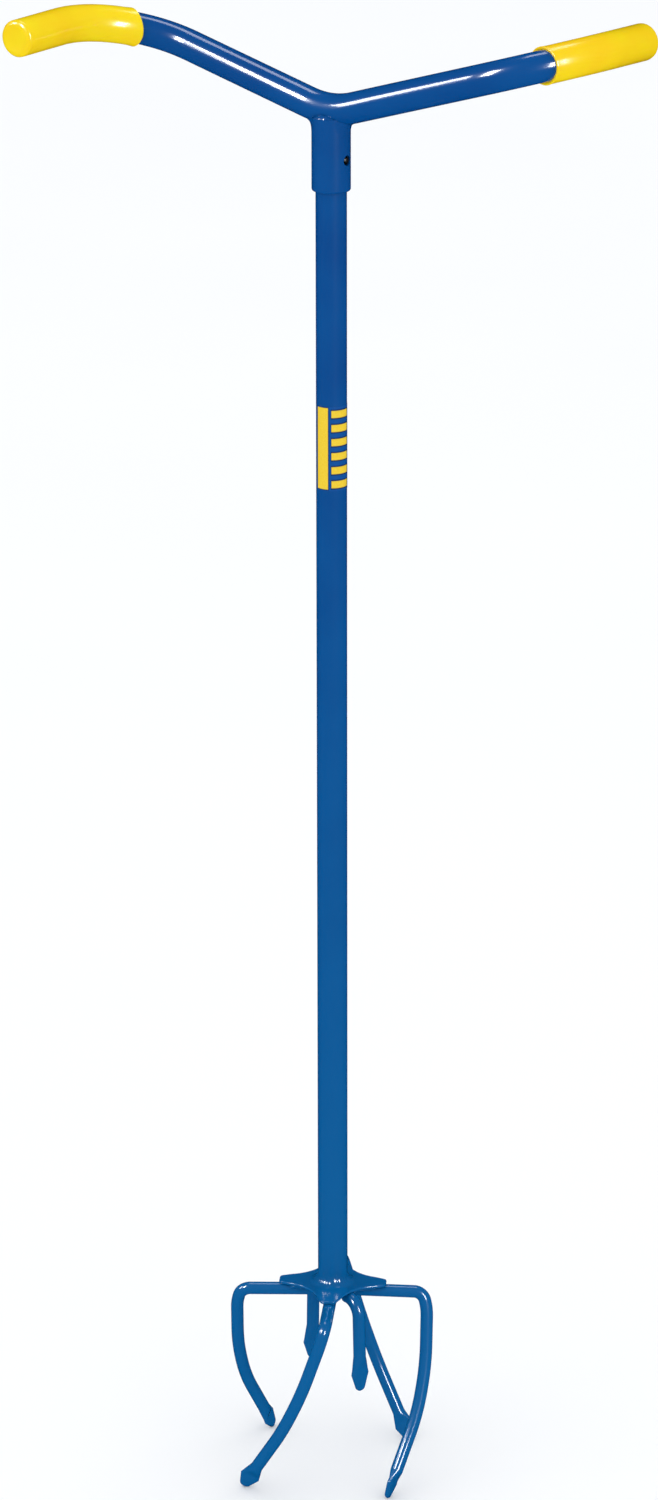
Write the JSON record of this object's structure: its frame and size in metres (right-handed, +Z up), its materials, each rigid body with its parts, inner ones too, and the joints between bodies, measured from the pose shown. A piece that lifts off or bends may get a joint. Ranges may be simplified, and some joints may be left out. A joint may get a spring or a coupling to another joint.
{
  "type": "stand-up hand twist tiller",
  "caption": "Stand-up hand twist tiller: swept tube handlebar with dipped vinyl grips, straight shaft, star plate and clockwise-swept spade-point tines for loosening soil.",
  "frame": {"origin": "on the shaft's axis, at the level of the lowest points of the long tines", "axes": "+Z up along the shaft, +X towards the right grip, -Y towards the side of the snap button"},
  "size_m": [0.4121, 0.1556, 0.9971],
  "materials": {
    "blue_powder_coat": "gloss powder coat over steel",
    "yellow_dipped_vinyl": "glossy dip-moulded PVC",
    "blackened_steel": "blackened steel, polished crown",
    "spring_steel": "tempered leaf steel",
    "printed_film": "gloss vinyl label, plain panels and stripes"
  },
  "bodies": {
    "tiller": {"handlebar_tube": "blue_powder_coat", "handle_socket": "blue_powder_coat", "socket_weld": "blue_powder_coat", "shaft_tube": "blue_powder_coat", "star_plate": "blue_powder_coat", "shaft_weld": "blue_powder_coat", "tine_right": "blue_powder_coat", "tine_front": "blue_powder_coat", "tine_left": "blue_powder_coat", "tine_back": "blue_powder_coat", "tine_inner_front": "blue_powder_coat", "tine_inner_back": "blue_powder_coat", "weld_right": "blue_powder_coat", "weld_front": "blue_powder_coat", "weld_left": "blue_powder_coat", "weld_back": "blue_powder_coat", "weld_inner_front": "blue_powder_coat", "weld_inner_back": "blue_powder_coat", "grip_left": "yellow_dipped_vinyl", "grip_right": "yellow_dipped_vinyl", "button_spring": "spring_steel", "shaft_label": "printed_film"},
    "button": {"snap_button": "blackened_steel"}
  },
  "joints": [
    {"name": "button_press", "type": "slide", "parent": "tiller", "child": "button", "axis": [-0.8192, 0.5736, 0], "range_m": [0, 0.0032], "stiffness_N_per_m": 3000, "springref_m": -0.002, "deforming": ["button_spring"]}
  ]
}
